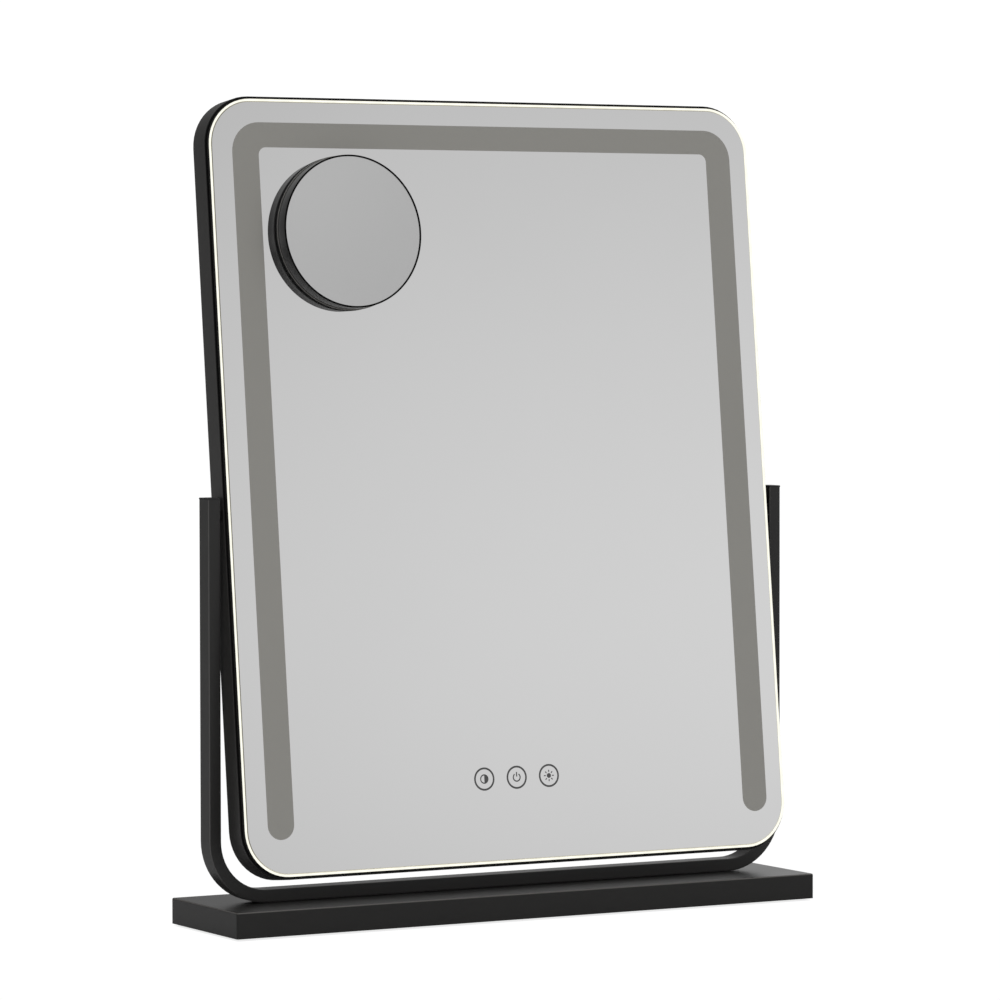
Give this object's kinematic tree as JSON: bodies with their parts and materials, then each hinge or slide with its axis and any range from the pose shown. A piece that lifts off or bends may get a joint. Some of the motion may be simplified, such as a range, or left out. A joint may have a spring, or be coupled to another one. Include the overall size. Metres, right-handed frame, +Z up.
{
  "type": "lighted tabletop mirror",
  "caption": "Large rounded rectangular mirror with a lit rim, frosted light band, touch keys and a small round magnifier, tilting on a U-shaped yoke over a flat bar base.",
  "frame": {"origin": "bottom centre of the base, in the plane the feet stand on, midway across the base's width and depth", "axes": "+X towards the user's right as they face the mirror, +Y away from the user, +Z up"},
  "size_m": [0.382, 0.0842, 0.4724],
  "materials": {
    "black_satin_metal": "satin black powder coat",
    "black_satin_frame": "satin black paint",
    "black_abs": "fine textured black plastic",
    "black_gloss_abs": "gloss black plastic",
    "mirror_silver": "silvered float glass",
    "concave_mirror": "silvered concave glass",
    "frosted_glass": "sandblasted window, satin",
    "mark_grey": "printed grey marks",
    "opal_lit": "lit opal acrylic",
    "opal_acrylic": "opal acrylic",
    "white_abs": "white moulded plastic",
    "foam": "foam tape",
    "steel": "plain steel",
    "zinc_steel": "zinc plated",
    "black_screw": "black zinc",
    "cast_ballast": "blackened steel bar",
    "rubber_black": "soft rubber",
    "silicone": "clear silicone",
    "spring_steel": "spring steel",
    "pcb_green": "solder mask",
    "pcb_white": "white flex board",
    "led_chip": "phosphor",
    "chip_black": "moulded components",
    "copper_pad": "copper foil",
    "brass_contact": "plated contact",
    "cable_black": "PVC lead"
  },
  "bodies": {
    "stand": {"base_ballast": "cast_ballast", "base_bottom_plate": "zinc_steel", "base_cover": "black_satin_metal", "base_plate_screws": "black_screw", "friction_washer_left": "spring_steel", "friction_washer_right": "spring_steel", "pivot_clinch_nut_left": "zinc_steel", "pivot_clinch_nut_right": "zinc_steel", "pivot_lock_nut_left": "zinc_steel", "pivot_lock_nut_right": "zinc_steel", "pivot_spacer_left": "black_abs", "pivot_spacer_right": "black_abs", "pivot_stud_left": "steel", "pivot_stud_right": "steel", "rubber_feet": "rubber_black", "stand_yoke": "black_satin_metal", "yoke_bolt_washers": "zinc_steel", "yoke_bolts": "black_screw", "yoke_end_cap_left": "black_abs", "yoke_end_cap_right": "black_abs", "yoke_rivet_nuts": "zinc_steel"},
    "panel": {"panel_frame": "black_satin_frame", "hinge_bracket_left": "steel", "hinge_bracket_right": "steel", "hinge_bracket_screws": "black_screw", "edge_light_ring": "opal_lit", "edge_led_strip": "pcb_white", "edge_leds": "led_chip", "glass_tape": "foam", "mirror_glass": "mirror_silver", "frosted_light_band": "frosted_glass", "touch_mark_mode": "mark_grey", "touch_mark_power": "mark_grey", "touch_mark_brightness": "mark_grey", "light_tray": "white_abs", "band_diffuser": "opal_acrylic", "band_led_strip": "pcb_white", "band_leds": "led_chip", "touch_board": "pcb_green", "touch_pads": "copper_pad", "driver_board": "pcb_green", "driver_components": "chip_black", "driver_board_screws": "zinc_steel", "power_jack": "black_gloss_abs", "power_jack_pin": "brass_contact", "power_jack_nut": "zinc_steel", "power_cable": "cable_black", "touch_cable": "cable_black", "light_cable": "cable_black", "back_cover": "black_abs", "back_cover_screws": "black_screw"},
    "magnifier": {"magnifier_housing": "black_gloss_abs", "magnifier_tape": "foam", "magnifier_mirror": "concave_mirror", "suction_cups": "silicone"}
  },
  "joints": [
    {"name": "panel_tilt", "type": "hinge", "parent": "stand", "child": "panel", "pos_m": [0, -0.0002, 0.2356], "axis": [1, 0, 0], "range_deg": [-83.7, 96.2]},
    {"name": "magnifier_lift", "type": "slide", "parent": "panel", "child": "magnifier", "axis": [0, -0.994, 0.1094], "range_m": [0, 0.04]}
  ]
}
